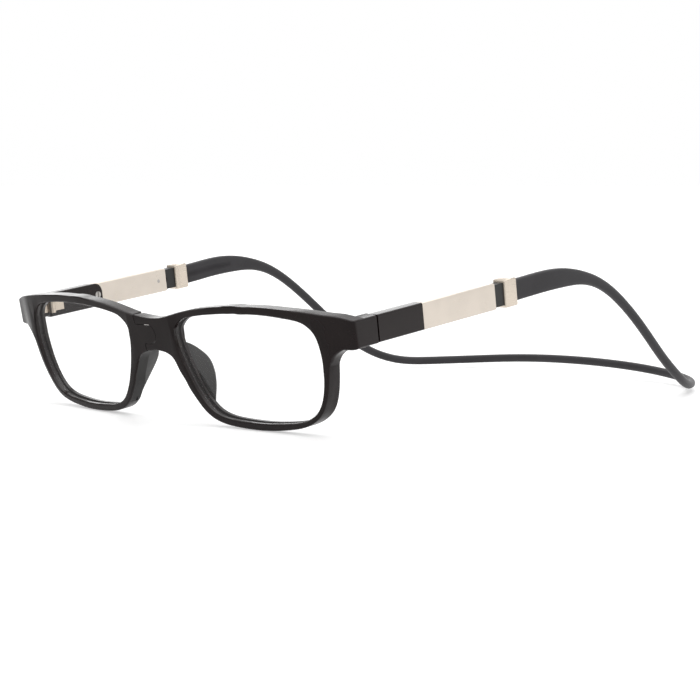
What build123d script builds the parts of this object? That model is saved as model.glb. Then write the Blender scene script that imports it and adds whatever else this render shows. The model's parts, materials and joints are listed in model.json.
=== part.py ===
from build123d import *
import os
from math import copysign, cos, hypot, pi, radians, sin, tan

# Reading glasses that part at the bridge, where two magnets hold the halves together.
# The wearer looks along -Y and their left is +X; pieces are named by the wearer's sides.
# Front, arms and ferrules are drawn level, with the middle of the front's top corners at zero. They are
# then tipped by rest_pitch, as the glasses stand on a table, on both rims and the headband.

# Front
front_width = 138.0
front_bow = 7.0
rim_depth = 3.8
pantoscopic_tilt = 4.4
eye_width = 48.6
eye_height = 29.2
lens_spacing = 19.2
eye_drop = 13.7
rim_width = 1.8
bridge_top_drop = 1.3
bridge_height = 8.8
end_height = 6.4
wrap_length = 8.15
corner_round = 1.2
edge_bevel = 0.35
rim_bevel = 0.35

# Lenses
lens_thickness = 1.7
lens_seat = 0.55
lens_setback = 1.2

# Bridge seam
seam_gap = 0.25
seam_relief = 10.0
tongue_radius = 2.7
tongue_drop = 5.65
tongue_centre = -1.6
seam_top_reach = 4.7
seam_low_reach = 2.2
magnet_radius = 1.2
magnet_length = 3.2
magnet_setback = 0.45

# Nose pads
pad_top_drop = 9.6
pad_top_reach = 5.45
pad_slope = 31.6
pad_flare = 20.0
pad_length = 19.6
pad_depth = 5.7
pad_thickness = 1.7
pad_lip = 0.6
pad_inlay = 0.6
pad_bevel = 0.45

# Arms
arm_thickness = 3.85
arm_height = 6.3
arm_round = 0.45
hinge_gap = 0.5
arm_front_length = 16.5
lap_length = 3.1
lap_thickness = 1.6
lap_corner = 2.6
sleeve_length = 28.6
sleeve_wall = 0.4
sleeve_plug = 3.6
sleeve_bevel = 0.2
slide_clearance = 0.05
slider_gap = 3.3
slider_grip = 21.5
slide_out = 16.0
stop_radius = 0.5
stop_inset = 3.2
stop_engagement = 0.5
stop_clearance = 0.1

# Hinges
barrel_radius = 1.1
barrel_height = 4.2
barrel_inset = 0.8
barrel_clearance = 0.15
knuckle_gap = 0.05
leaf_length = 4.7
leaf_height = 3.6
leaf_thickness = 0.9
hinge_pin_radius = 0.5
hinge_head_radius = 0.75
hinge_head_height = 0.4
pin_clearance = 0.03
arm_screw_radius = 0.6
arm_screw_head_radius = 1.0
arm_screw_head_height = 0.5
arm_screw_length = 2.6
arm_screw_inset = 1.5
screw_slot_width = 0.4
screw_slot_depth = 0.25

# Ferrules and headband
ferrule_length = 5.0
ferrule_proud = 0.22
ferrule_socket = 2.2
ferrule_bevel = 0.35
strap_height = 5.6
strap_thickness = 2.7
tenon_shoulder = 0.4
tenon_root = 1.0
strap_length = 27.5
strap_taper_power = 6
cord_diameter = 2.3
headband_length = 115.4
rest_pitch = 7.8

# Cuts run past their solids by overrun. A headband half is drawn through band_sections sections of many sides.
overrun = 2.0
band_sections = 36
section_sides = 16
front_edges = 4

# The eye shape, clockwise from the middle of its top, in shares of its half width and half height.
eye_shares = (
    (-0.01, 1.0), (0.47, 0.976), (0.848, 0.842), (0.984, 0.582), (0.996, 0.116), (0.955, -0.397),
    (0.873, -0.733), (0.659, -0.911), (0.166, -1.0), (-0.285, -0.979), (-0.614, -0.822),
    (-0.811, -0.514), (-0.938, -0.062), (-0.996, 0.336), (-0.938, 0.678), (-0.753, 0.86),
    (-0.409, 0.955),
)
# Where the brow line, the bridge's underside and the end piece's edges run out into the rim.
brow_end, underside_end, end_top_start, end_low_end = 0, 11, 1, 4
# Those four edges, in shares of the way from their first point to their last.
brow_shares = ((0.234, 0.317), (0.466, 0.72), (0.77, 0.963))
underside_shares = ((0.35, 0.058), (0.548, 0.183), (0.69, 0.41), (0.85, 0.70))
end_top_shares = ((0.284, 0.41), (0.695, 0.878))
end_low_shares = ((0.369, 0.143), (0.772, 0.384), (0.951, 0.714))
# The nose pad's rear edge, in shares of its length and its depth behind the rim.
pad_edge_shares = (
    (0.0, 0.6), (0.07, 0.86), (0.22, 1.0), (0.43, 0.98), (0.66, 0.76), (0.84, 0.44), (0.97, 0.2),
)
middle_knuckle_share = 0.4
# The headband's course: shares of its half width, of its length and of the height of its start.
course_shares = (
    (1.0, 0.0, 1.0), (1.01, 0.105, 1.058), (1.014, 0.2175, 1.082), (1.014, 0.31, 1.032),
    (1.01, 0.421, 0.837), (1.0, 0.52, 0.578), (0.98, 0.6187, 0.313), (0.945, 0.7244, 0.095),
    (0.89, 0.8068, 0.013), (0.807, 0.889, 0.0), (0.636, 0.9627, 0.016), (0.428, 0.9925, 0.044),
    (0.213, 0.9994, 0.064), (0.0, 1.0, 0.071),
)

half_width = front_width / 2
bow_radius = (half_width**2 + front_bow**2) / (2 * front_bow)
eye_centre = (lens_spacing / 2 + eye_width / 2, -eye_drop)
bridge_low_drop = bridge_top_drop + bridge_height
arm_middle = -end_height / 2
arm_inner = half_width - arm_thickness
arm_centre = half_width - arm_thickness / 2
arm_start = wrap_length + hinge_gap
sleeve_start = arm_start + arm_front_length
sleeve_end = sleeve_start + sleeve_length
ferrule_start = sleeve_end + slider_gap
ferrule_end = ferrule_start + ferrule_length
hinge_place = (arm_inner - barrel_inset, wrap_length + hinge_gap / 2)
cord_radius = cord_diameter / 2
lean = radians(pantoscopic_tilt)


def box(low, high):
    """A solid box between two opposite corners."""
    size = [b - a for a, b in zip(low, high)]
    middle = [(a + b) / 2 for a, b in zip(low, high)]
    return Pos(*middle) * Box(*size)


def rounded_box(low, high, radius, axis=Axis.Y):
    """A box whose edges along one axis are rounded."""
    solid = box(low, high)
    return fillet(solid.edges().filter_by(axis), radius)


def rod(radius, start, end):
    """A round rod from one point to another."""
    path = Vector(*end) - Vector(*start)
    return extrude(Plane(start, z_dir=path) * Circle(radius), amount=path.length)


def other_side(solid):
    return mirror(solid, about=Plane.YZ)


def eye_points(grow=0.0):
    """The eye shape's points, moved outwards by grow."""
    base = [
        (eye_centre[0] + across * eye_width / 2, eye_centre[1] + up * eye_height / 2)
        for across, up in eye_shares
    ]
    points = []
    for index, (x, z) in enumerate(base):
        before, after = base[index - 1], base[(index + 1) % len(base)]
        run, rise = after[0] - before[0], after[1] - before[1]
        points.append((x - grow * rise / hypot(run, rise), z + grow * run / hypot(run, rise)))
    return points


def eye_face(grow=0.0):
    return make_face(Spline(eye_points(grow), periodic=True))


def between(first, last, shares):
    """Points from first to last, through the given shares of the way."""
    middle = [
        (first[0] + across * (last[0] - first[0]), first[1] + up * (last[1] - first[1]))
        for across, up in shares
    ]
    return [first] + middle + [last]


def flap(edge):
    """The face between one edge of the outline and the middle of the eye."""
    return make_face([Spline(edge), Line(edge[-1], eye_centre), Line(eye_centre, edge[0])])


def front_outline():
    """One side of the front from the front, its eye still closed: rim, half bridge and end piece."""
    rim = eye_points(rim_width)
    brow = between((0, -bridge_top_drop), rim[brow_end], brow_shares)
    underside = between((0, -bridge_low_drop), rim[underside_end], underside_shares)
    end_top = between((half_width, 0), rim[end_top_start], end_top_shares)
    end_low = between((half_width, -end_height), rim[end_low_end], end_low_shares)
    bridge = make_face(Polyline(brow[0], eye_centre, underside[0], close=True))
    end = make_face(Polyline(end_top[0], eye_centre, end_low[0], close=True))
    return eye_face(rim_width) + flap(brow) + flap(underside) + bridge + flap(end_top) + flap(end_low) + end


def slab(face, front, back):
    """A front view made solid between two depths."""
    return Pos(0, back, 0) * extrude(Plane.XZ * face, amount=back - front)


def bowed_shell(front, back):
    """The bowed and tilted layer between two depths behind the front's surface."""
    height = 4 * eye_height
    shell = Cylinder(bow_radius - front, height) - Cylinder(bow_radius - back, height)
    return Rot(pantoscopic_tilt, 0, 0) * Pos(0, bow_radius - front_bow, 0) * shell


def bowed(face, front=0.0, back=rim_depth):
    """A front view made solid within a layer of the bowed front."""
    reach = front_bow + rim_depth
    return slab(face, -reach, reach) & bowed_shell(front, back)


def front_depth(drop):
    """Where the front's surface stands along Y in the middle plane, a drop below the top."""
    return drop * tan(lean) - front_bow / cos(lean)


def front_face(solid):
    """The large bowed face that the onlooker sees."""
    bowed_faces = solid.faces().filter_by(GeomType.CYLINDER)
    return bowed_faces.sort_by(SortBy.AREA)[-2:].sort_by(Axis.Y)[0]


def front_side(outline):
    """One side of the front, bevelled along its edges, with its end piece turned back to the hinge."""
    solid = bowed(outline)
    corner = solid.edges().filter_by(GeomType.LINE).sort_by(Axis.X)[-4:].sort_by(Axis.Y)[0]
    solid = fillet(corner, corner_round)
    inner_edge, outer_edge = corner_round, half_width - corner_round - edge_bevel
    outer_edges = [
        edge for edge in front_face(solid).outer_wire().edges()
        if edge.bounding_box().max.X > inner_edge and edge.bounding_box().min.X < outer_edge
    ]
    solid = chamfer(outer_edges, edge_bevel)
    solid -= bowed(eye_face(), -overrun, rim_depth + overrun)
    solid = chamfer(front_face(solid).inner_wires()[0].edges(), rim_bevel)
    end_piece = rounded_box(
        (arm_inner, rim_depth / 2, -end_height), (half_width, wrap_length, 0), arm_round
    )
    barrel_room = hinge_cylinder(barrel_radius + barrel_clearance, barrel_height + 2 * barrel_clearance)
    return solid + (end_piece - barrel_room)


def hinge_cylinder(radius, height, middle=arm_middle):
    """A cylinder about the hinge's axis."""
    return Pos(*hinge_place, middle) * Cylinder(radius, height)


def knuckle(height, middle):
    """One knuckle of the hinge, bored for its pin."""
    return hinge_cylinder(barrel_radius, height, middle)


def leaf_plate(start, end):
    """The flat of a hinge leaf, let halfway into the inner face of the end piece or the arm."""
    half = leaf_thickness / 2
    low = (arm_inner - half, start, arm_middle - leaf_height / 2)
    high = (arm_inner + half, end, arm_middle + leaf_height / 2)
    return box(low, high)


def hinge_leaves():
    """The front's leaf with two knuckles and the arm's leaf with one between them."""
    middle_height = barrel_height * middle_knuckle_share
    outer_height = (barrel_height - middle_height) / 2 - knuckle_gap
    offset = (barrel_height - outer_height) / 2
    outer_places = (arm_middle - offset, arm_middle + offset)
    room = barrel_radius + barrel_clearance
    pin_room = hinge_cylinder(hinge_pin_radius + pin_clearance, 2 * barrel_height)
    axis_y = hinge_place[1]
    front_leaf = leaf_plate(axis_y - leaf_length, axis_y - knuckle_gap)
    front_leaf -= hinge_cylinder(room, middle_height + 2 * knuckle_gap)
    arm_leaf = leaf_plate(axis_y + knuckle_gap, axis_y + leaf_length)
    for place in outer_places:
        front_leaf += knuckle(outer_height, place)
        arm_leaf -= hinge_cylinder(room, outer_height + 2 * knuckle_gap, place)
    arm_leaf += knuckle(middle_height, arm_middle)
    pin = hinge_cylinder(hinge_pin_radius, barrel_height)
    return front_leaf - pin, arm_leaf - pin_room


def hinge_screw():
    """The hinge's screw: a plain pin through the knuckles under a low slotted head."""
    top = arm_middle + barrel_height / 2
    pin = hinge_cylinder(hinge_pin_radius, barrel_height)
    head = hinge_cylinder(hinge_head_radius, hinge_head_height, top + hinge_head_height / 2)
    slot_top = top + hinge_head_height
    slot = Pos(*hinge_place, slot_top) * Box(
        2 * hinge_head_radius, screw_slot_width, 2 * screw_slot_depth
    )
    return pin + head - slot


def bridge_frame():
    """The bridge's frame: Y goes into its depth from the middle of the tongue's front."""
    return Pos(0, front_depth(tongue_drop), -tongue_drop) * Rot(pantoscopic_tilt, 0, 0)


def seam_region(shift):
    """The tongue's side of the seam, in the bridge's own front view, moved outwards by shift."""
    top_x = tongue_centre - seam_top_reach + shift
    low_x = tongue_centre - seam_low_reach + shift
    radius = tongue_radius + shift
    far = half_width
    nose = RadiusArc((tongue_centre, radius), (tongue_centre, -radius), radius)
    outline = [
        Polyline((tongue_centre, -radius), (low_x, -radius), (low_x, -far), (-far, -far), (-far, far),
                 (top_x, far), (top_x, radius), (tongue_centre, radius)),
        nose,
    ]
    return make_face(outline)


def seam_prism(sign):
    """The tongue's side of the seam through the bridge's depth, relieved towards the back.

    With sign 1 it is the socket's room, which widens; with sign -1 it is the tongue, which narrows."""
    faces = []
    for depth in (-overrun, rim_depth + overrun):
        shift = sign * (seam_gap / 2 + depth * tan(radians(seam_relief)))
        faces.append(Pos(0, depth, 0) * (Plane.XZ * seam_region(shift)))
    prism = loft(faces, ruled=True)
    return bridge_frame() * prism


def front_halves(side):
    """The two halves of the front, parted along the seam: the socket's and the tongue's."""
    whole = side + other_side(side)
    socket_start = tongue_centre - seam_top_reach - overrun
    tongue_end = tongue_centre + tongue_radius + overrun
    low, high = -2 * half_width, 2 * half_width
    right_of = box((socket_start, low, low), (high, high, high))
    left_of = box((low, low, low), (tongue_end, high, high))
    bridge_zone = bridge_frame() * box(
        (socket_start, -overrun, -half_width), (half_width, rim_depth + overrun, half_width)
    )
    socket_half = (whole & right_of) - seam_prism(1)
    tongue_half = (whole & left_of) - (bridge_zone - seam_prism(-1))
    return socket_half, tongue_half


def bridge_magnets():
    """The two magnets, let into the tongue and behind the socket along X."""
    depth = rim_depth / 2
    relief = seam_gap / 2 + depth * tan(radians(seam_relief))
    seam_end = tongue_centre + tongue_radius
    tongue_end = seam_end - relief - magnet_setback
    socket_start = seam_end + relief + magnet_setback
    places = (socket_start, tongue_end - magnet_length)
    return [
        bridge_frame() * rod(magnet_radius, (start, depth, 0), (start + magnet_length, depth, 0))
        for start in places
    ]


def pad_frame():
    """The nose pad's own plane: X down along the rim, Y backwards and outwards from near its back."""
    slope, flare = radians(pad_slope), radians(pad_flare)
    start_y = front_depth(pad_top_drop) + rim_depth - pad_inlay
    down = Vector(sin(slope), cos(slope) * tan(lean), -cos(slope)).normalized()
    back = Vector(sin(flare) * cos(slope), cos(flare), sin(flare) * sin(slope))
    return Plane((pad_top_reach, start_y, -pad_top_drop), x_dir=down, z_dir=down.cross(back))


def pad_core(outline):
    """The front view without the wall that the nose pad's strip covers."""
    slope = radians(pad_slope)
    return outline & Pos(pad_inlay * cos(slope), pad_inlay * sin(slope)) * outline


def pad_strip(outline):
    """The strip along the rim's nasal wall that the nose pad covers, in the front view."""
    start = Pos(pad_top_reach, -pad_top_drop) * Rot(0, 0, pad_slope - 90)
    zone = start * Pos(pad_length / 2, 0) * Rectangle(pad_length, 2 * overrun)
    return (outline - pad_core(outline)) & zone


def nose_pad(outline):
    """A saddle pad: a flared fin behind the rim and a strip let into the rim's nasal wall."""
    edge = [(along * pad_length, back * pad_depth) for along, back in pad_edge_shares]
    side_view = make_face([
        Line((0, 0), edge[0]),
        Spline(edge),
        Line(edge[-1], (pad_length, 0)),
        Line((pad_length, 0), (0, 0)),
    ])
    plane = pad_frame()
    fin = extrude(plane * side_view, amount=pad_thickness, dir=plane.z_dir)
    by_depth = fin.edges().sort_by(Axis(plane.origin, plane.y_dir))
    fin = chamfer(by_depth[front_edges:], pad_bevel)
    fin -= bowed(pad_core(outline))
    return fin + bowed(pad_strip(outline), pad_lip, rim_depth)


def lens():
    """A bowed lens whose rim sits in the groove of the eye."""
    return bowed(eye_face(lens_seat), lens_setback, lens_setback + lens_thickness)


def arm_front():
    """The black front section of an arm, with a rounded lap over the sleeve on its inner side."""
    bottom, top = arm_middle - arm_height / 2, arm_middle + arm_height / 2
    low, high = (arm_inner, arm_start, bottom), (half_width, sleeve_start, top)
    block = rounded_box(low, high, arm_round)
    lap = rounded_box(
        (arm_inner, sleeve_start - lap_length, bottom),
        (arm_inner + lap_thickness, sleeve_start + lap_length, top),
        lap_corner, Axis.X,
    )
    lap &= rounded_box(low, (half_width, sleeve_end, top), arm_round)
    room = hinge_cylinder(barrel_radius + barrel_clearance, barrel_height + 2 * barrel_clearance)
    return block + lap - room


def sleeve(front_section):
    """The metal sleeve: a rectangular tube, solid where the lap is screwed to it."""
    bottom, top = arm_middle - arm_height / 2, arm_middle + arm_height / 2
    tube = rounded_box((arm_inner, sleeve_start, bottom), (half_width, sleeve_end, top), arm_round)
    ends = tube.faces().sort_by(Axis.Y)
    tube = chamfer(ends[0].edges() + ends[-1].edges(), sleeve_bevel)
    tube -= box(
        (arm_inner + sleeve_wall, sleeve_start + sleeve_plug, bottom + sleeve_wall),
        (half_width - sleeve_wall, sleeve_end + overrun, top - sleeve_wall),
    )
    return tube - front_section


def arm_screw():
    """The screw through the lap into the sleeve, its head sunk flush, and the slot in its head."""
    y = sleeve_start + arm_screw_inset
    start = (arm_inner, y, arm_middle)
    shank = rod(arm_screw_radius, start, (arm_inner + arm_screw_length, y, arm_middle))
    head = rod(arm_screw_head_radius, start, (arm_inner + arm_screw_head_height, y, arm_middle))
    slot = Pos(*start) * Box(2 * screw_slot_depth, screw_slot_width, 2 * arm_screw_head_radius)
    return shank + head, slot


def stop_pin():
    """The pin through the sleeve's inner wall that runs in the slider bar's groove."""
    y = sleeve_end - stop_inset
    end = arm_inner + sleeve_wall + slide_clearance + stop_engagement
    return rod(stop_radius, (arm_inner, y, arm_middle), (end, y, arm_middle))


def slider_bar():
    """The bar that slides in the sleeve, with a groove for the stop pin."""
    play = sleeve_wall + slide_clearance
    half_height = arm_height / 2 - play
    bar = box(
        (arm_inner + play, sleeve_end - slider_grip, arm_middle - half_height),
        (half_width - play, ferrule_start + ferrule_socket, arm_middle + half_height),
    )
    room = stop_radius + stop_clearance
    pin_y = sleeve_end - stop_inset
    groove_floor = arm_inner + play + stop_engagement + stop_clearance
    groove = rounded_box(
        (arm_inner, pin_y - slide_out - room, arm_middle - room),
        (groove_floor, pin_y + slider_gap + room, arm_middle + room),
        room - slide_clearance, Axis.X,
    )
    return bar - groove


def strap_section(share):
    """The headband's section, from the round cord at share 0 to the flat strap at share 1."""
    width = cord_diameter + share * (strap_thickness - cord_diameter)
    height = cord_diameter + share * (strap_height - cord_diameter)
    roundness = 1 / (1 + share)
    points = []
    for step in range(section_sides):
        angle = 2 * pi * (step + 0.5) / section_sides
        across, up = cos(angle), sin(angle)
        points.append((
            copysign(abs(across) ** roundness, across) * width / 2,
            copysign(abs(up) ** roundness, up) * height / 2,
        ))
    return Polyline(points, close=True)


def strap_tenon():
    """The strap's end, level: a slimmer tongue that sits in the ferrule's pocket."""
    half_thickness = strap_thickness / 2 - tenon_shoulder
    half_height = strap_height / 2 - tenon_shoulder
    low = (arm_centre - half_thickness, ferrule_end - ferrule_socket, arm_middle - half_height)
    high = (arm_centre + half_thickness, ferrule_end + tenon_root, arm_middle + half_height)
    return box(low, high)


def ferrule(bar):
    """The collar that joins the slider bar to the headband's strap."""
    half_height = arm_height / 2 + ferrule_proud
    collar = rounded_box(
        (arm_inner - ferrule_proud, ferrule_start, arm_middle - half_height),
        (half_width + ferrule_proud, ferrule_end, arm_middle + half_height),
        arm_round,
    )
    rims = collar.faces().sort_by(Axis.Y)
    collar = chamfer(rims[0].edges() + rims[-1].edges(), ferrule_bevel)
    return collar - bar - strap_tenon()


def headband_half(stance):
    """The left half of the headband, as it lies: a flat strap that runs out into a round cord."""
    start = Plane(stance * Pos(arm_centre, ferrule_end, arm_middle))
    rise = start.origin.Z - cord_radius
    course = [
        Vector(
            across * arm_centre,
            start.origin.Y + back * headband_length,
            cord_radius + up * rise,
        )
        for across, back, up in course_shares
    ]
    route = Spline(course, tangents=(start.y_dir, -start.x_dir))
    sections = []
    for index in range(band_sections + 1):
        share = index / band_sections
        along = route % share
        outwards = along.cross(Vector(0, 0, 1)).normalized()
        plane = Plane(route @ share, x_dir=outwards, z_dir=along)
        strap_left = 1 / (1 + (share * route.length / strap_length) ** strap_taper_power)
        sections.append(make_face(plane * strap_section(strap_left)))
    return loft(sections, ruled=True) + stance * strap_tenon()


def side_pieces(outline):
    """The pieces that are alike on both sides, level, and the front's side cut for them."""
    pad, glass = nose_pad(outline), lens()
    front_leaf, arm_leaf = hinge_leaves()
    screw, slot = arm_screw()
    pin, bar = stop_pin(), slider_bar()
    section = arm_front()
    side = front_side(outline) - pad - glass - front_leaf
    pieces = {
        "lens": glass,
        "nose_pad": pad,
        "hinge_front_leaf": front_leaf,
        "hinge_arm_leaf": arm_leaf,
        "hinge_screw": hinge_screw(),
        "arm_front": section - screw - arm_leaf,
        "arm_screw": screw - slot,
        "sleeve": sleeve(section) - screw - pin,
        "stop_pin": pin,
        "slider_bar": bar,
        "ferrule": ferrule(bar),
    }
    return side, pieces


def glasses():
    """Every piece by its node's name, and the stance that the level pieces are put in."""
    side, pieces = side_pieces(front_outline())
    halves, magnets = front_halves(side), bridge_magnets()
    tipped = Rot(rest_pitch, 0, 0)
    stance = Pos(0, 0, -(tipped * halves[0]).bounding_box().min.Z) * tipped
    band = headband_half(stance)
    nodes = {"headband_left": band, "headband_right": other_side(band)}
    for hand, half, magnet in zip(("left", "right"), halves, magnets):
        nodes[f"front_half_{hand}"] = stance * (half - magnet)
        nodes[f"bridge_magnet_{hand}"] = stance * magnet
    for name, piece in pieces.items():
        nodes[f"{name}_left"] = stance * piece
        nodes[f"{name}_right"] = stance * other_side(piece)
    boxes = [node.bounding_box() for node in nodes.values()]
    front, back = min(box.min.Y for box in boxes), max(box.max.Y for box in boxes)
    centred = Pos(0, -(front + back) / 2, 0)
    return {name: centred * node for name, node in nodes.items()}, centred * stance


if __name__ == "__main__":
    os.makedirs("parts", exist_ok=True)
    pieces, stance = glasses()
    for name, piece in pieces.items():
        export_step(piece, f"parts/{name}.step")
    places = {
        "hinge axis": (*hinge_place, arm_middle),
        "sleeve outer face": (half_width, (sleeve_start + sleeve_end) / 2, arm_middle),
        "stop pin": (arm_inner, sleeve_end - stop_inset, arm_middle),
        "origin": (0, 0, 0),
    }
    for name, place in places.items():
        print(name, (stance * Pos(*place)).position)
    middle = pieces["headband_left"].faces().sort_by(Axis.X)[0]
    print("headband middle", middle.bounding_box())
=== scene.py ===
# %% [markdown]
# # Reading glasses that part at the bridge
# The CAD model gives every rigid piece in its true place: the two halves of the front, lenses, pads, hinges,
# arms, sleeves and ferrules. Blender adds what the CAD leaves plain: the finishes, soft edges, a smooth
# headband in one piece, and the light. All sizes are in metres unless a line says
# mm, +Z is up, and the front faces -Y.

# %% Load the model
import json
import math
import bpy
import bmesh
import numpy as np
from mathutils import Matrix, Vector


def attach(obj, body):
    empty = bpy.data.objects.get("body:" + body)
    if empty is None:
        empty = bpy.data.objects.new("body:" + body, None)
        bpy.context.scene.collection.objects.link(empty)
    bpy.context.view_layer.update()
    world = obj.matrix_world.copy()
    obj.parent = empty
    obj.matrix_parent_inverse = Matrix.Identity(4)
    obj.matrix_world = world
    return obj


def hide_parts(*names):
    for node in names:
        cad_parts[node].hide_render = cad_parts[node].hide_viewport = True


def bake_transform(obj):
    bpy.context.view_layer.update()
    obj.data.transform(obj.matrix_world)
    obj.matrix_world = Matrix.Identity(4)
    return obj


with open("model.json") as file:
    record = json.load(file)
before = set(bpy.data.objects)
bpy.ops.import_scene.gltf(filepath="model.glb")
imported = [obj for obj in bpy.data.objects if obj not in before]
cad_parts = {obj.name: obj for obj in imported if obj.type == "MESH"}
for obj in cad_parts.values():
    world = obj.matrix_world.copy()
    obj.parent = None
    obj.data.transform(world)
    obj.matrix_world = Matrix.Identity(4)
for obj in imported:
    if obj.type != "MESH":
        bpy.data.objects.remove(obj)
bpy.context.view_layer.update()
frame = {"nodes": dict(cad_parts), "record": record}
mm = 0.001

# %% [markdown]
# ## Camera
# The photograph is a level shot from the wearer's left front, slightly above the table. A long lens keeps the
# two sides nearly the same size. The place was worked out from known corners of the glasses: the front's top
# corners, the sleeve ends and the ferrules. A camera with no roll needs only two angles: how far round it
# stands, and how high.

# %% Camera
camera_place = Vector((406.25, -430.44, 63.64)) * mm
camera_azimuth = math.radians(44.48)
camera_elevation = math.radians(4.81)
lens_length = 101.5
glasses_middle = Vector((0, 0, 20)) * mm

camera_data = bpy.data.cameras.new("camera")
camera_data.lens = lens_length
camera_data.sensor_width = 36
camera_data.clip_start = 0.01
camera = bpy.data.objects.new("camera", camera_data)
camera.location = camera_place
camera.rotation_euler = (math.pi / 2 - camera_elevation, 0, camera_azimuth)
bpy.context.scene.collection.objects.link(camera)
bpy.context.scene.camera = camera
print("camera distance", round((camera_place - glasses_middle).length, 3), "m")

# %% [markdown]
# ## Nodes as expressions
# A finish is easier to read as a sum than as a web of nodes. `Value` wraps one output socket, so that
# `0.1 * grain` adds a Math node by itself. `Nodes` makes all other nodes in any kind of tree: the materials'
# trees, the world's and the headband's Geometry Nodes.

# %% Node helpers
class Value:
    """One output of a node, with the usual signs of arithmetic."""

    def __init__(self, nodes, socket):
        self.nodes, self.socket = nodes, socket

    def maths(self, operation, *others):
        return self.nodes.maths(operation, self, *others)

    def output(self, key):
        """Another output of the same node."""
        return Value(self.nodes, self.socket.node.outputs[key])

    def __add__(self, other):
        return self.maths("ADD", other)

    def __sub__(self, other):
        return self.maths("SUBTRACT", other)

    def __rsub__(self, other):
        return self.nodes.maths("SUBTRACT", other, self)

    def __mul__(self, other):
        return self.maths("MULTIPLY", other)

    def __truediv__(self, other):
        return self.maths("DIVIDE", other)

    def __rtruediv__(self, other):
        return self.nodes.maths("DIVIDE", other, self)

    def __pow__(self, other):
        return self.maths("POWER", other)

    __radd__ = __add__
    __rmul__ = __mul__

    def step(self, start, end, low=0.0, high=1.0):
        """Low up to start, high from end on, and smooth in between."""
        settings = {"interpolation_type": "SMOOTHSTEP"}
        return self.nodes.node("ShaderNodeMapRange", settings, [self, start, end, low, high])


class Nodes:
    """A node tree in the making."""

    def __init__(self, tree):
        self.tree = tree

    def node(self, kind, settings=None, inputs=(), output=0):
        """A node of any kind; its inputs are a list by place or a dictionary by name."""
        made = self.tree.nodes.new(kind)
        for name, setting in (settings or {}).items():
            setattr(made, name, setting)
        pairs = inputs.items() if isinstance(inputs, dict) else enumerate(inputs)
        for key, value in pairs:
            self.feed(made.inputs[key], value)
        return Value(self, made.outputs[output])

    def feed(self, socket, value):
        """Link a value to a socket, or set the socket to a plain number, colour or vector."""
        if isinstance(value, Value):
            self.tree.links.new(value.socket, socket)
        else:
            socket.default_value = value

    def maths(self, operation, *values):
        return self.node("ShaderNodeMath", {"operation": operation}, values)

    def vector(self, operation, *values, output=0):
        return self.node("ShaderNodeVectorMath", {"operation": operation}, values, output)


print("node helpers", Value.__name__, Nodes.__name__)

# %% [markdown]
# ## Finishes
# Every surface is one Principled shader with a little noise in it, laid out in the piece's own coordinates,
# so that it needs no picture and no unwrapping. `Finish` is a material with the four things that they share:
# the shader's sockets by name, noise of a given size, a colour between two, and relief.

# %% Finish helper
noise_middle = 0.5


class Finish(Nodes):
    """A material in the making."""

    def __init__(self, name):
        self.material = bpy.data.materials.new(name)
        self.material.use_nodes = True
        super().__init__(self.material.node_tree)
        self.shader = self.tree.nodes["Principled BSDF"]
        self.place = self.node("ShaderNodeTexCoord", output="Object")

    def set(self, **sockets):
        """Sockets of the shader, written with underscores for spaces."""
        for name, value in sockets.items():
            self.feed(self.shader.inputs[name.replace("_", " ")], value)
        return self

    def grain(self, size, detail=2.0, stretch=(1, 1, 1)):
        """Noise whose features are about size metres across."""
        place = self.node("ShaderNodeMapping", {}, {"Vector": self.place, "Scale": stretch})
        return self.node("ShaderNodeTexNoise", {}, {"Vector": place, "Scale": 1 / size, "Detail": detail})

    def tint(self, mask, dark, light):
        """A colour between two, by a mask."""
        inputs = {"Factor": mask, 6: (*dark, 1), 7: (*light, 1)}
        return self.node("ShaderNodeMix", {"data_type": "RGBA"}, inputs, output=2)

    def relief(self, height, depth):
        """A bump whose full height is depth metres."""
        inputs = {"Height": height, "Distance": depth, "Strength": 1.0}
        return self.node("ShaderNodeBump", {}, inputs)


print("finish helper", Finish.__name__)

# %% [markdown]
# ## Plastics
# The front and the arms' front sections are one satin black moulding. Up close it isn't pure black: it is a
# warm charcoal, with a fine spark-eroded grain that spreads its reflections and a few faint handling marks
# where it is a little smoother. The nose pads are a softer, greyer moulding, and the headband is matt rubber
# with a sheen along its edges. One function can make all four: clouds of noise vary colour and gloss, and a
# finer noise is the grain.

# %% Plastic and rubber
cloud_size, cloud_edges = 9 * mm, (0.35, 0.7)
cloud_gloss, grain_gloss = 0.1, 0.08


def moulded(name, dark, light, roughness, grain_size, grain_depth):
    """A moulded plastic with a fine grain and slightly uneven gloss."""
    finish = Finish(name)
    clouds = finish.grain(cloud_size, 3)
    grain = finish.grain(grain_size, 1)
    colour = finish.tint(clouds.step(*cloud_edges), dark, light)
    gloss = roughness + cloud_gloss * (clouds - noise_middle) + grain_gloss * (grain - noise_middle)
    finish.set(Base_Color=colour, Roughness=gloss, Normal=finish.relief(grain, grain_depth))
    return finish


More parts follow.
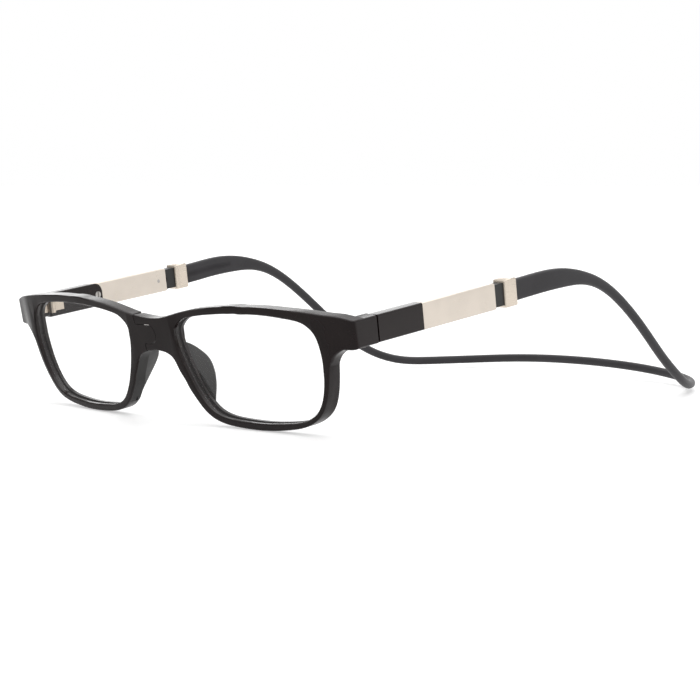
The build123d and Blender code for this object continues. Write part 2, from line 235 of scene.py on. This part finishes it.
front_plastic = moulded(
    "satin_black_plastic", dark=(0.0120, 0.0065, 0.0062), light=(0.0160, 0.0092, 0.0088),
    roughness=0.24, grain_size=0.16 * mm, grain_depth=0.0003 * mm,
).set(IOR=1.37)
pad_plastic = moulded(
    "soft_pad_plastic", dark=(0.024, 0.0225, 0.0225), light=(0.030, 0.028, 0.0275),
    roughness=0.5, grain_size=0.2 * mm, grain_depth=0.0015 * mm,
).set(IOR=1.40)
bar_plastic = moulded(
    "slider_black_plastic", dark=(0.010, 0.010, 0.010), light=(0.014, 0.013, 0.013),
    roughness=0.42, grain_size=0.2 * mm, grain_depth=0.003 * mm,
)
band_rubber = moulded(
    "headband_rubber", dark=(0.030, 0.028, 0.031), light=(0.040, 0.037, 0.041),
    roughness=0.62, grain_size=0.35 * mm, grain_depth=0.006 * mm,
).set(Sheen_Weight=0.25, Sheen_Roughness=0.4, IOR=1.45)
plastics = (front_plastic, pad_plastic, bar_plastic, band_rubber)
print("plastics", [made.material.name for made in plastics])

# %% [markdown]
# ## Metals
# Sleeves and ferrules are steel with a pale champagne tone, brushed along the arm. Brushing is noise
# stretched about eighty times along the arm: it makes fine lines in roughness and in relief. An anisotropic
# shader would stretch the highlight as well, at the price of tangents; at this size the lines are enough.
# Screws, hinge leaves and magnets are smoother.

# %% Metal
brush_stretch, brush_gloss = (1, 0.012, 1), 0.12
stain_size, stain_edges, stain_shade, stain_gloss = 7 * mm, (0.3, 0.7), 0.95, 0.05


def brushed(name, colour, roughness, line_width, line_depth):
    """A metal brushed along Y."""
    finish = Finish(name)
    lines = finish.grain(line_width, 2, brush_stretch)
    clouds = finish.grain(stain_size, 2)
    low = tuple(stain_shade * part for part in colour)
    gloss = roughness + brush_gloss * (lines - noise_middle) + stain_gloss * (clouds - noise_middle)
    finish.set(
        Base_Color=finish.tint(clouds.step(*stain_edges), low, colour),
        Metallic=1.0,
        Roughness=gloss,
        Normal=finish.relief(lines, line_depth),
    )
    return finish


# Name, colour, roughness, and the width and depth of the brushed lines.
sleeve_metal = brushed("champagne_brushed_metal", (0.70, 0.63, 0.555), 0.3, 0.12 * mm, 0.0012 * mm)
ferrule_metal = brushed("champagne_satin_metal", (0.68, 0.60, 0.51), 0.26, 0.16 * mm, 0.001 * mm)
hinge_metal = brushed("hinge_metal", (0.62, 0.54, 0.45), 0.3, 0.2 * mm, 0.001 * mm)
screw_metal = brushed("screw_metal", (0.46, 0.44, 0.42), 0.3, 0.3 * mm, 0.0005 * mm)
magnet_metal = brushed("magnet_nickel", (0.62, 0.61, 0.6), 0.22, 0.3 * mm, 0.0005 * mm)
metals = (sleeve_metal, ferrule_metal, hinge_metal, screw_metal, magnet_metal)
print("metals", [made.material.name for made in metals])

# %% [markdown]
# ## Lenses
# A clear coated lens with hardly any power is nearly invisible: what shows is a trace of haze and reflection.
# The surface lets almost all light straight through. A thin share of it is a glossy film, and the white
# room's faint mirror image, which is the same all over, is painted on as an even glow of about one per
# cent: a painted reflection. Refraction would be truer, but it takes many samples before the dark rims behind
# the lens come out clean.

# %% Lens plastic
haze_size, haze_edges = 14 * mm, (0.4, 0.8)
clearest, haze_spread = 0.03, 0.03


def clear_lens():
    """A surface that is nearly all see-through, under a thin film whose faint glow is a painted reflection of
    the room.
    """
    finish = Finish("clear_lens")
    haze = finish.grain(haze_size, 2)
    finish.set(
        Base_Color=(0.12, 0.12, 0.12, 1),
        Roughness=clearest + haze_spread * haze.step(*haze_edges),
        Alpha=0.014,
        IOR=1.5,
        # The emission is a painted reflection: the white room's even mirror image on the lens.
        Emission_Color=(1, 1, 1, 1),
        Emission_Strength=0.9,
    )
    return finish


lens_glass = clear_lens()
print("lens", lens_glass.material.name)

# %% [markdown]
# ## The level frame
# The glasses lie tipped on the table, which makes their own directions awkward to work in. Turned level, X
# goes across the front, Y into its depth and Z up it, all in mm from the middle of its top corners.

# %% The level frame
rest_pitch = math.radians(7.8)
level_origin = Vector((0, -85.7855, 30.2442)) * mm
stance = np.array(Matrix.Rotation(rest_pitch, 3, "X"))


def level_places(shell):
    """A piece's vertices in the level frame."""
    return (np.array([vertex.co - level_origin for vertex in shell.verts]) @ stance) / mm


def put_back(shell, level):
    """Give a piece's vertices their places from the level frame."""
    for vertex, place in zip(shell.verts, (level * mm) @ stance.T):
        vertex.co = Vector(place) + level_origin


print("level frame tipped by", round(math.degrees(rest_pitch), 1), "degrees")

# %% [markdown]
# ## The front's true outline
# The real front differs from the CAD's by a millimetre or so: its brow line is one calm curve, and its eyes
# are fuller at the corners. `outline_moves` lists that in the front view. A thin-plate surface, the shape of
# a sheet of springy metal pushed through given heights, carries the moves to everything in between, so that
# rim, lens and pad stay together. A lattice could do it too, with cells as fine as a rim is wide.

# %% Outline
# Places on one side of the front view, across and up, and how far each one moves across and up, in mm.
outline_moves = (
    (0, -1.3, 0, 0.2), (3.28, -0.88, 0.01, -0.04), (6.54, -0.3, 0.01, -0.08), (9.78, 0.38, 0, -0.04),
    (13.01, 1.08, -0.01, -0.02), (16.27, 1.68, -0.02, 0.03), (19.55, 2.1, -0.04, 0.12),
    (22.84, 2.39, -0.06, 0.23), (26.15, 2.56, -0.07, 0.34), (29.45, 2.67, 0.02, 0.43),
    (32.76, 2.7, 0.01, 0.48), (36.05, 2.41, 0.03, 0.78), (39.36, 2.31, 0.03, 0.87),
    (42.67, 2.34, 0.02, 0.74), (45.98, 2.34, 0.01, 0.54), (49.28, 2.26, 0, 0.4), (52.59, 2.06, -0.01, 0.34),
    (55.88, 1.76, -0.02, 0.34), (59.17, 1.38, 0.08, 0.36), (62.45, 0.94, 0.08, 0.37),
    (65.73, 0.48, 0.06, 0.27), (65.81, -7.18, 0, -0.2), (62.69, -8.15, 0.28, -0.37),
    (60.38, -10.41, 0.7, -0.34), (59.76, -13.61, 0.37, -0.08), (59.38, -16.87, -0.08, -0.02),
    (58.82, -20.1, -0.59, 0.2), (57.88, -23.24, -1.06, 0.58), (56.1, -25.97, -1, 0.99),
    (53.35, -27.74, -0.55, 0.85), (50.24, -28.77, -0.24, 0.56), (47.03, -29.43, -0.12, 0.43),
    (43.77, -29.82, -0.03, 0.35), (40.49, -30.02, -0.04, 0.21), (37.21, -30.12, 0.04, 0.11),
    (33.93, -30.16, 0.02, 0.11), (30.65, -30.09, 0, 0.15), (27.37, -29.85, -0.02, 0.13),
    (24.12, -29.38, 0.04, 0), (20.95, -28.55, -0.02, -0.15), (17.97, -27.19, -0.16, -0.2),
    (15.33, -25.25, -0.09, -0.09), (13.13, -22.82, 0.06, 0.06), (11.55, -19.95, -0.04, 0.03),
    (9.94, -17.09, -0.04, -0.08), (8.32, -14.23, 0, -0.04), (6.25, -11.72, 0.15, 0.14),
    (3.25, -10.43, 0.02, 0.08), (0, -10.1, 0, 0.2), (33.66, 0.9, 0, 0.27), (36.63, 0.47, 0.03, 0.7),
    (39.63, 0.42, 0.03, 0.72), (42.64, 0.5, 0.02, 0.51), (45.64, 0.55, 0.01, 0.18),
    (48.64, 0.43, -0.01, -0.07), (51.6, -0.11, 0.01, 0.04), (54.34, -1.3, 0.13, 0.4),
    (56.61, -3.26, 0.41, 0.31), (58.04, -5.87, 0.06, 0.06), (58.36, -8.85, 0.1, 0.06),
    (58.12, -11.85, 0.35, -0.05), (57.8, -14.84, 0.35, -0.05), (57.41, -17.81, 0.09, 0),
    (56.82, -20.76, -0.36, 0.13), (55.73, -23.55, -0.68, 0.51), (53.6, -25.62, -0.48, 0.57),
    (50.82, -26.75, -0.16, 0.36), (47.9, -27.45, -0.02, 0.28), (44.93, -27.9, -0.03, 0.32),
    (41.93, -28.15, -0.02, 0.3), (38.93, -28.27, -0.02, 0.22), (35.92, -28.34, -0.02, 0.21),
    (32.92, -28.35, -0.01, 0.25), (29.91, -28.24, -0.01, 0.28), (26.92, -27.99, -0.01, 0.21),
    (23.95, -27.51, -0.03, 0.05), (21.07, -26.68, -0.07, -0.09), (18.39, -25.34, -0.05, -0.09),
    (16.06, -23.45, 0.15, 0.13), (14.14, -21.13, 0.43, 0.21), (12.68, -18.51, 0.47, 0.23),
    (11.53, -15.74, 0.4, 0.2), (10.51, -12.91, 0.38, 0.09), (9.8, -9.99, 0.2, 0.04),
    (9.81, -7, -0.37, -0.01), (10.83, -4.19, -1.11, 0.44), (13.04, -2.21, -0.39, 0.98),
    (15.82, -1.08, -0.2, 0.74), (18.75, -0.43, -0.07, 0.61), (21.73, -0.04, -0.07, 0.59),
    (24.71, 0.35, -0.06, 0.47), (27.68, 0.82, -0.04, 0.2), (30.67, 1.13, -0.02, 0), (67, 0.6, 0, 0),
    (70, 0.6, 0, 0), (67, -1.5, 0, -0.18), (70, -1.5, 0, -0.18), (67, -3.2, 0, -0.38), (70, -3.2, 0, -0.38),
    (67, -5, 0, -0.59), (70, -5, 0, -0.59), (67, -6.4, 0, -0.75), (70, -6.4, 0, -0.75), (0, -5.5, 0, 0),
)
plate_softness, least_distance = 0.02, 1e-9


def thin_plate(moves):
    """A function that gives the move at any places from the listed moves."""
    def bend(first, second):
        apart = np.linalg.norm(first[:, None] - second[None], axis=2)
        return apart**2 * np.log(np.maximum(apart, least_distance))

    places, shifts = moves[:, :2], moves[:, 2:]
    count = len(places)
    flat = np.column_stack([np.ones(count), places])
    bending = bend(places, places) + plate_softness * np.eye(count)
    system = np.block([[bending, flat], [flat.T, np.zeros((3, 3))]])
    weights = np.linalg.solve(system, np.concatenate([shifts, np.zeros((3, 2))]))
    return lambda at: np.column_stack([bend(at, places), np.ones(len(at)), at]) @ weights


outline_shift = thin_plate(np.array(outline_moves))
print("outline moves", len(outline_moves))

# %% [markdown]
# ## Seam, stand and arms
# Three more things differ. The front stands further forward, most at its middle and not at all at the hinges,
# and its seam lies a little to the left. The socket's walls open towards the back, as a mould and a swinging
# tongue want; seen from the front, light would fall through that wedge, so the upper walls run straight back
# here and a little closer. And the arms are 12 per cent deeper, counted down from the front's top corners.

# %% Seam, stand and arms
# All are in mm in the level frame, apart from shares of a depth, a height or a distance.
# The front: half its width, how deep it reaches before its hinges, and how far its bridge leans back.
half_width, hinge_depth, hinge_fade = 69, 7, 5
bridge_front, front_lean = -6.8, 0.077
# The seam's tongue, the socket's play and opening round it, and how that opening closes.
tongue_centre, tongue_drop, tongue_radius = -1.6, 5.65, 2.7
seam_play, seam_opening, seam_reaches = 0.125, 0.1763, (4.7, 2.2)
seam_closing, seam_fade = 0.08, 1.5
wall_tolerance, run_tolerance = 0.1, 0.12
# The seam's way to the left, and the front's way forward.
seam_slide, slide_reach, slide_fade = 1.15, 9, 6
lead, bow_lead, lead_by_height, corner_start = 1.26, 0.36, 0.035, 60
# The pads: where they begin, and how they lengthen, hollow at their top and draw in.
pad_top, pad_run_in, pad_start = -8.2, 6.5, -3.2
pad_lengthening, pad_hollow, pad_narrowing = 0.18, 0.5, 0.17
# The arms: the height of their middle, and how they deepen.
arm_middle, arm_deepening, ferrule_setback = -3.2, 1.12, 0.45
deepened_kinds = ("arm_front", "sleeve", "slider_bar", "ferrule")


def close_seam(level):
    """Run the socket's upper walls straight back; the tongue still has room to slide past them."""
    depth = np.clip(level[:, 1] - bridge_front, 0, None)
    opening = seam_opening * depth
    wall = tongue_radius + seam_play + opening
    beside = level[:, 0] - tongue_centre
    above = level[:, 2] + tongue_drop - front_lean * depth
    radius = np.hypot(beside, above)
    # The socket's walls: round the tongue's nose, above and below it, and past it, where the seam runs on.
    on_nose = (beside > 0) & (abs(radius - wall) < wall_tolerance)
    on_ledge = (beside <= 0) & (abs(abs(above) - wall) < wall_tolerance)
    past_run = beside + np.where(above > 0, *seam_reaches) - seam_play - opening
    on_run = (abs(above) > wall - wall_tolerance) & (abs(past_run) < run_tolerance)
    shift = np.zeros((len(level), 2))
    shift[on_nose] = (np.column_stack([beside, above]) / radius[:, None])[on_nose]
    shift[on_ledge, 1] = np.sign(above)[on_ledge]
    shift[on_run, 0] = 1
    upper = np.clip((above + tongue_radius) / seam_fade, 0, 1)
    level[:, (0, 2)] -= ((opening + seam_closing) * upper)[:, None] * shift


def reshape_front(level, kind):
    """Give a front piece its real outline, seam and stand; the hinges keep their place."""
    side = np.where(level[:, 0] < 0, -1.0, 1.0)
    across = np.abs(level[:, 0])
    shift = outline_shift(np.column_stack([across, level[:, 2]]))
    if kind == "nose_pad":
        depth = np.clip(level[:, 1] - (pad_start - front_lean * level[:, 2]), 0, None)
        from_top = np.clip((pad_top - level[:, 2]) / pad_run_in, 0, 1)
        level[:, 1] += (pad_lengthening - pad_hollow * (1 - from_top) ** 2) * depth
        shift[:, 0] -= pad_narrowing * depth
    near_bridge = np.clip((slide_reach - across) / slide_fade, 0, 1)
    # Forward by the lead, and smoothly down to nothing at the corners.
    corner = np.clip((across - corner_start) / (half_width - corner_start), 0, 1)
    forward = lead + bow_lead * (1 - (across / half_width) ** 2) + lead_by_height * level[:, 2]
    forward *= 1 - corner**2 * (3 - 2 * corner)
    free = np.clip((hinge_depth - level[:, 1]) / hinge_fade, 0, 1)
    level[:, 0] += side * shift[:, 0] * free + seam_slide * near_bridge
    level[:, 1] -= forward * free
    level[:, 2] += shift[:, 1]


def reshape_arm(level, kind):
    """Give an arm's piece its real depth, and set its ferrule back."""
    if kind in deepened_kinds:
        level[:, 2] *= arm_deepening
    else:
        level[:, 2] += arm_middle * (arm_deepening - 1)
    if kind == "ferrule":
        level[:, 1] += ferrule_setback


print("front forward by", round(lead + bow_lead, 2), "mm at its middle, seam to the left by", seam_slide, "mm")

# %% [markdown]
# ## Soft edges
# A CAD mesh is loose triangles with a hard edge at each chamfer, and a moulded or tumbled edge is round. A
# bevel would round it in geometry, with many more faces. Here every corner's normal is an average over the
# faces round it instead, where the larger surface counts for more: flat faces stay flat, and the chamfers
# turn the light like small rounds.

# %% Normals
sharp_angle = math.radians(50)
same_surface_angle = math.radians(8)


def surface_areas(shell):
    """For each face, the area of the whole smooth surface that it belongs to."""
    areas = {}
    for first in shell.faces:
        if first in areas:
            continue
        surface, edge_of_it = {first}, [first]
        while edge_of_it:
            for edge in edge_of_it.pop().edges:
                if len(edge.link_faces) == 2 and edge.calc_face_angle(0) < same_surface_angle:
                    fresh = [face for face in edge.link_faces if face not in surface]
                    surface.update(fresh)
                    edge_of_it.extend(fresh)
        area = sum(face.calc_area() for face in surface)
        areas.update((face, area) for face in surface)
    return areas


def corner_normals(shell):
    """A normal for each face corner: the mean of the faces reached round its vertex without a sharp edge."""
    areas = surface_areas(shell)
    normals = {}
    for vertex in shell.verts:
        left = set(vertex.link_faces)
        while left:
            fan, open_faces = set(), [left.pop()]
            while open_faces:
                face = open_faces.pop()
                fan.add(face)
                for edge in face.edges:
                    if vertex in edge.verts and edge.smooth:
                        fresh = [other for other in edge.link_faces if other in left]
                        left.difference_update(fresh)
                        open_faces.extend(fresh)
            mean = sum((face.normal * areas[face] for face in fan), Vector())
            for face in fan:
                normals[vertex.index, face.index] = mean.normalized()
    return [normals[loop.vert.index, face.index] for face in shell.faces for loop in face.loops]


print("normals: sharp above", round(math.degrees(sharp_angle)), "degrees")

# %% [markdown]
# ## Dressing the CAD pieces
# Every solid gets its finish, its true shape and its soft edges. That happens on a copy with joined
# triangles, which stands for the solid and rides on the same body. The lenses get a hair of play in their
# grooves, because two faces in one place would flicker.

# %% Dressed pieces
finishes = {
    "front_half": front_plastic, "arm_front": front_plastic, "nose_pad": pad_plastic, "lens": lens_glass,
    "bridge_magnet": magnet_metal, "hinge_front_leaf": hinge_metal, "hinge_arm_leaf": hinge_metal,
    "hinge_screw": hinge_metal, "arm_screw": screw_metal, "sleeve": sleeve_metal, "stop_pin": screw_metal,
    "slider_bar": bar_plastic, "ferrule": ferrule_metal,
}
hands = ("left", "right")
front_kinds = ("front_half", "nose_pad", "lens", "bridge_magnet")
bodies = frame["record"]["behaviour"]["bodies"]
body_of_node = {node: body for body, nodes in bodies.items() for node in nodes}
groove_play = 0.03 * mm
weld_distance = 0.001 * mm


def dress(kind, hand, finish):
    """Put a dressed copy in the place of a CAD node."""
    node = f"{kind}_{hand}"
    mesh = frame["nodes"][node].data.copy()
    mesh.name = f"{node}_shell"
    shell = bmesh.new()
    shell.from_mesh(mesh)
    bmesh.ops.remove_doubles(shell, verts=shell.verts, dist=weld_distance)
    level = level_places(shell)
    if node == "front_half_left":
        close_seam(level)
    reshape = reshape_front if kind in front_kinds else reshape_arm
    reshape(level, kind)
    put_back(shell, level)
    if kind == "lens":
        for vertex in shell.verts:
            vertex.co -= groove_play * vertex.normal
    for face in shell.faces:
        face.smooth = True
        face.normal_update()
    for edge in shell.edges:
        edge.smooth = len(edge.link_faces) == 2 and edge.calc_face_angle(0) < sharp_angle
    shell.verts.index_update()
    shell.faces.index_update()
    normals = corner_normals(shell)
    shell.to_mesh(mesh)
    shell.free()
    mesh.normals_split_custom_set(normals)
    mesh.materials.clear()
    mesh.materials.append(finish.material)
    piece = bpy.data.objects.new(f"{node}_shell", mesh)
    bpy.context.scene.collection.objects.link(piece)
    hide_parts(node)
    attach(piece, body_of_node[node])


for kind, finish in finishes.items():
    for hand in hands:
        dress(kind, hand, finish)
print("dressed", len(hands) * len(finishes), "pieces")

# %% [markdown]
# ## Headband
# The band is one rubber moulding: a flat strap at each ferrule that runs out into a round cord behind the
# head. Its middle line passes through a few places, given as shares of its size. A cubic spline through
# them, with its end directions given, is what a bent strip does by itself. A simulation could hang the band,
# but not match a photograph. A Bezier curve can hold the spline exactly: each handle is a third of the way
# along the spline's slope.

# %% The band's middle line
band_half_width = 67.075 * mm
band_start = Vector((band_half_width, -23.382 * mm, 35.21 * mm))
band_length = 115.4 * mm
cord_diameter = 2.65 * mm
strap_size = (2.8 * mm, 5.8 * mm)
strap_length = 27.5 * mm
course_shares = (
    (1.0, 0.0, 1.0), (1.01, 0.105, 1.058), (1.014, 0.2175, 1.082), (1.014, 0.31, 1.032),
    (1.01, 0.421, 0.84), (1.0, 0.52, 0.59), (0.98, 0.6187, 0.332), (0.945, 0.7244, 0.124),
    (0.89, 0.8068, 0.041), (0.807, 0.889, 0.028), (0.636, 0.9627, 0.047), (0.428, 0.9925, 0.077),
    (0.213, 0.9994, 0.098), (0.0, 1.0, 0.105),
)


def spline_slopes(points, spans, first, last):
    """The slope at each point of the cubic spline through them, from its two end slopes."""
    count = len(points)
    matrix, right = np.zeros((count, count)), np.zeros((count, 3))
    matrix[0, 0] = matrix[-1, -1] = 1
    right[0], right[-1] = first, last
    for i in range(1, count - 1):
        before, after = spans[i - 1], spans[i]
        matrix[i, i - 1:i + 2] = after, 2 * (before + after), before
        rise_before = (points[i] - points[i - 1]) / before
        rise_after = (points[i + 1] - points[i]) / after
        right[i] = 3 * (after * rise_before + before * rise_after)
    return np.linalg.solve(matrix, right)


def band_curve():
    """The whole band's middle line, from the left ferrule round the back to the right one."""
    rise = band_start.z - cord_diameter / 2
    left = np.array([
        (x * band_half_width, band_start.y + y * band_length, cord_diameter / 2 + z * rise)
        for x, y, z in course_shares
    ])
    points = np.concatenate([left, left[-2::-1] * (-1, 1, 1)])
    spans = np.linalg.norm(np.diff(points, axis=0), axis=1)
    out = np.array((0, math.cos(rest_pitch), math.sin(rest_pitch)))
    slopes = spline_slopes(points, spans, out, -out)
    curve = bpy.data.curves.new("headband_line", "CURVE")
    curve.dimensions = "3D"
    spline = curve.splines.new("BEZIER")
    spline.bezier_points.add(len(points) - 1)
    spline.resolution_u = 24
    reaches = [spans[0], *spans, spans[-1]]
    for i, bezier in enumerate(spline.bezier_points):
        bezier.handle_left_type = bezier.handle_right_type = "FREE"
        bezier.co = points[i]
        bezier.handle_left = points[i] - slopes[i] * reaches[i] / 3
        bezier.handle_right = points[i] + slopes[i] * reaches[i + 1] / 3
    print("headband line", round(spline.calc_length() / mm, 1), "mm")
    line = bpy.data.objects.new("headband_line", curve)
    bpy.context.scene.collection.objects.link(line)
    return line


headband_line = band_curve()

# %% [markdown]
# ## The band's surface
# Geometry Nodes lay a grid along the line: one side of the grid counts along the band, the other goes once
# round it. At each place the section is a rounded oblong that shrinks from the strap to the cord. Its
# corners come from raising sine and cosine to a power: 1 gives an ellipse, and less gives squarer corners. A
# bevelled curve would be simpler, but it keeps one section all along.

# %% Headband tree
class Shape(Nodes):
    """A Geometry Nodes tree in the making, with its group inputs by name."""

    def __init__(self, name, inputs):
        super().__init__(bpy.data.node_groups.new(name, "GeometryNodeTree"))
        sockets = self.tree.interface
        for label, (kind, default) in inputs.items():
            socket = sockets.new_socket(label, in_out="INPUT", socket_type=kind)
            if default is not None:
                socket.default_value = default
        sockets.new_socket("Geometry", in_out="OUTPUT", socket_type="NodeSocketGeometry")
        self.start = self.node("NodeGroupInput")
        self.end = self.tree.nodes.new("NodeGroupOutput")

    def input(self, label):
        return self.start.output(label)

    def scaled(self, direction, length):
        return self.node("ShaderNodeVectorMath", {"operation": "SCALE"}, {0: direction, "Scale": length})

    def finish(self, geometry):
        self.feed(self.end.inputs["Geometry"], geometry)


def headband_tree():
    """A strap that runs out into a cord along a curve, and back into a strap."""
    tree = Shape("headband", {
        "Geometry": ("NodeSocketGeometry", None),
        "Stations": ("NodeSocketInt", 361),
        "Sides": ("NodeSocketInt", 41),
        "Cord": ("NodeSocketFloat", cord_diameter),
        "Strap thickness": ("NodeSocketFloat", strap_size[0]),
        "Strap height": ("NodeSocketFloat", strap_size[1]),
        "Strap length": ("NodeSocketFloat", strap_length),
        "Run-out sharpness": ("NodeSocketFloat", 6.0),
        "Material": ("NodeSocketMaterial", band_rubber.material),
    })
    line = tree.input("Geometry")
    length = tree.node("GeometryNodeCurveLength", {}, [line])
    grid = tree.node("GeometryNodeMeshGrid", {}, {
        "Size X": 1.0, "Size Y": 1.0, "Vertices X": tree.input("Stations"), "Vertices Y": tree.input("Sides"),
    })
    on_grid = tree.node("ShaderNodeSeparateXYZ", {}, [tree.node("GeometryNodeInputPosition")])
    along = on_grid + 0.5
    angle = on_grid.output("Y") * (2 * math.pi)

    sample = tree.node("GeometryNodeSampleCurve", {"mode": "FACTOR"}, {"Curves": line, "Factor": along})
    centre, tangent = sample.output("Position"), sample.output("Tangent")
    outwards = tree.vector("NORMALIZE", tree.vector("CROSS_PRODUCT", tangent, (0, 0, 1)))
    upwards = tree.vector("CROSS_PRODUCT", outwards, tangent)

    from_end = along.maths("MINIMUM", 1 - along) * length
    strap = 1 / (1 + (from_end / tree.input("Strap length")) ** tree.input("Run-out sharpness"))
    cord = tree.input("Cord")
    width = cord + strap * (tree.input("Strap thickness") - cord)
    height = cord + strap * (tree.input("Strap height") - cord)
    roundness = 1 / (1 + strap)

    def part_of(turn, size):
        """How far the section reaches to one side: a sine or cosine with squarer corners, times its size."""
        return turn.maths("SIGN") * turn.maths("ABSOLUTE") ** roundness * size * 0.5

    side, rise = part_of(angle.maths("COSINE"), width), part_of(angle.maths("SINE"), height)
    offset = tree.vector("ADD", tree.scaled(outwards, side), tree.scaled(upwards, rise))
    place = tree.vector("ADD", centre, offset)
    surface = tree.node("GeometryNodeSetPosition", {}, {"Geometry": grid, "Position": place})
    surface = tree.node("GeometryNodeMergeByDistance", {}, {"Geometry": surface, "Distance": weld_distance})
    surface = tree.node("GeometryNodeSetMaterial", {}, {0: surface, "Material": tree.input("Material")})
    tree.finish(surface)
    return tree.tree


band_tree = headband_tree()
print("headband tree", len(band_tree.nodes), "nodes")

# %% [markdown]
# ## The band as a piece
# The tree's result becomes a plain mesh, its two ends get flat caps, and it stands for both solid halves.
# The real band bends all along when it is spread. Its joint is a hinge at the rear middle.

# %% Headband piece
def make_headband():
    """The band as one plain mesh with capped ends."""
    modifier = headband_line.modifiers.new("headband", "NODES")
    modifier.node_group = band_tree
    graph = bpy.context.evaluated_depsgraph_get()
    mesh = bpy.data.meshes.new_from_object(headband_line.evaluated_get(graph))
    mesh.name = "headband"
    bpy.data.objects.remove(headband_line)
    shell = bmesh.new()
    shell.from_mesh(mesh)
    bmesh.ops.holes_fill(shell, edges=shell.edges)
    bmesh.ops.recalc_face_normals(shell, faces=shell.faces)
    # The walls are quads, and the two caps, with all their corners, stay flat.
    for face in shell.faces:
        face.smooth = len(face.verts) == 4
    shell.to_mesh(mesh)
    shell.free()
    piece = bpy.data.objects.new("headband", mesh)
    bpy.context.scene.collection.objects.link(piece)
    return piece


headband = make_headband()
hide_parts("headband_left", "headband_right")
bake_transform(headband)
print("headband", len(headband.data.polygons), "faces")

# %% [markdown]
# ## Floor
# The glasses stand on a white table in a white room. A light tent, or a large window behind the table and a
# white ceiling, gives such a picture: soft shadows under the rims, light top edges, and sides that stay dark
# because they reflect the dimmer part of the room.
#
# The floor glows white where the camera sees it, which keeps it white up to the horizon. In reflections it is
# dimmer ahead of the glasses, where an onlooker stands, so that the front's lower faces don't turn grey.

# %% Floor
floor_reach = 40.0
floor_height = -0.05 * mm  # a hair below the glasses, so that no two faces share a plane
onlooker_start, onlooker_end = 0.06, 0.11
floor_white, floor_dim, glow_dimming = (0.86, 0.86, 0.86), (0.48, 0.48, 0.48), 0.6


def floor_finish():
    """White where it is seen; in reflections it is dimmer where the onlooker stands."""
    finish = Finish("white_floor")
    camera_ray = finish.node("ShaderNodeLightPath", output="Is Camera Ray")
    glossy_ray = camera_ray.output("Is Glossy Ray")
    ahead = -1 * finish.node("ShaderNodeSeparateXYZ", {}, [finish.place], output="Y")
    dimmed = glossy_ray * ahead.step(onlooker_start, onlooker_end)
    seen = camera_ray.maths("MAXIMUM", glossy_ray - glow_dimming * dimmed)
    finish.set(
        Base_Color=finish.tint(dimmed, floor_white, floor_dim),
        Roughness=0.6,
        Emission_Color=finish.tint(seen, (0, 0, 0), (1, 1, 1)),
        Emission_Strength=0.44,
    )
    return finish


floor_mesh = bpy.data.meshes.new("floor")
quarters = ((-1, -1), (1, -1), (1, 1), (-1, 1))
corners = [(x * floor_reach, y * floor_reach, floor_height) for x, y in quarters]
floor_mesh.from_pydata(corners, [], [(0, 1, 2, 3)])
floor_mesh.materials.append(floor_finish().material)
floor = bpy.data.objects.new("floor", floor_mesh)
bpy.context.scene.collection.objects.link(floor)
print("floor", floor.name)

# %% [markdown]
# ## Room
# The world is white wherever the camera looks, and mostly so in reflections, with one dim side, to the
# wearer's right, that the black front mirrors towards the camera. It lights rough surfaces less than it
# shows, so the floor keeps its shadows. Real walls round the table would do the same, with far more light to
# work out.

# %% World
dim_side = (-0.92, -0.38, 0)
dim_from, dim_to = 0.6, 0.92
dim_level, diffuse_level = 0.27, 0.35


def white_room():
    """A world that is full where it is seen, weaker as a light, and dim to one side in reflections."""
    world = bpy.data.worlds.new("white_room")
    world.use_nodes = True
    bpy.context.scene.world = world
    room = Nodes(world.node_tree)
    camera_ray = room.node("ShaderNodeLightPath", output="Is Camera Ray")
    direction = room.node("ShaderNodeTexCoord")
    towards = room.vector("DOT_PRODUCT", direction, dim_side, output="Value")
    mirrored = camera_ray.output("Is Glossy Ray") * towards.step(dim_from, dim_to, low=1.0, high=dim_level)
    seen = camera_ray.maths("MAXIMUM", camera_ray.output("Is Transmission Ray"))
    shown = seen.maths("MAXIMUM", mirrored)
    background = room.tree.nodes["Background"]
    room.feed(background.inputs["Strength"], shown.maths("MAXIMUM", diffuse_level))
    background.inputs["Color"].default_value = (1, 1, 1, 1)
    return world


print("world", white_room().name)

# %% [markdown]
# ## Lamps
# The shadows come from a very wide sun, which is the ceiling. A back window lights the top edges, and a weak
# fill opens the near side.

# %% Lamps
def lamp(kind, name, place, target, **settings):
    """A lamp of any kind at a place, turned to a target."""
    data = bpy.data.lights.new(name, kind)
    for setting, value in settings.items():
        setattr(data, setting, value)
    made = bpy.data.objects.new(name, data)
    made.location = place
    made.rotation_euler = (Vector(target) - Vector(place)).to_track_quat("-Z", "Y").to_euler()
    bpy.context.scene.collection.objects.link(made)
    return made


window = {"shape": "RECTANGLE", "size": 2.6, "size_y": 1.0, "energy": 9}
fill = {"shape": "DISK", "size": 0.8, "energy": 0.95}
lamps = (
    lamp("SUN", "ceiling", (0.1, 0.15, 1.3), (0, 0, 0), angle=math.radians(75), energy=1.15),
    lamp("AREA", "back_window", (-1.7, 1.75, 0.55), (0, 0, 0.03), **window),
    lamp("AREA", "front_fill", (0.9, -0.9, 0.7), (0, 0, 0.02), **fill),
)
bpy.context.scene.view_settings.view_transform = "Standard"
print("lamps", [made.name for made in lamps])
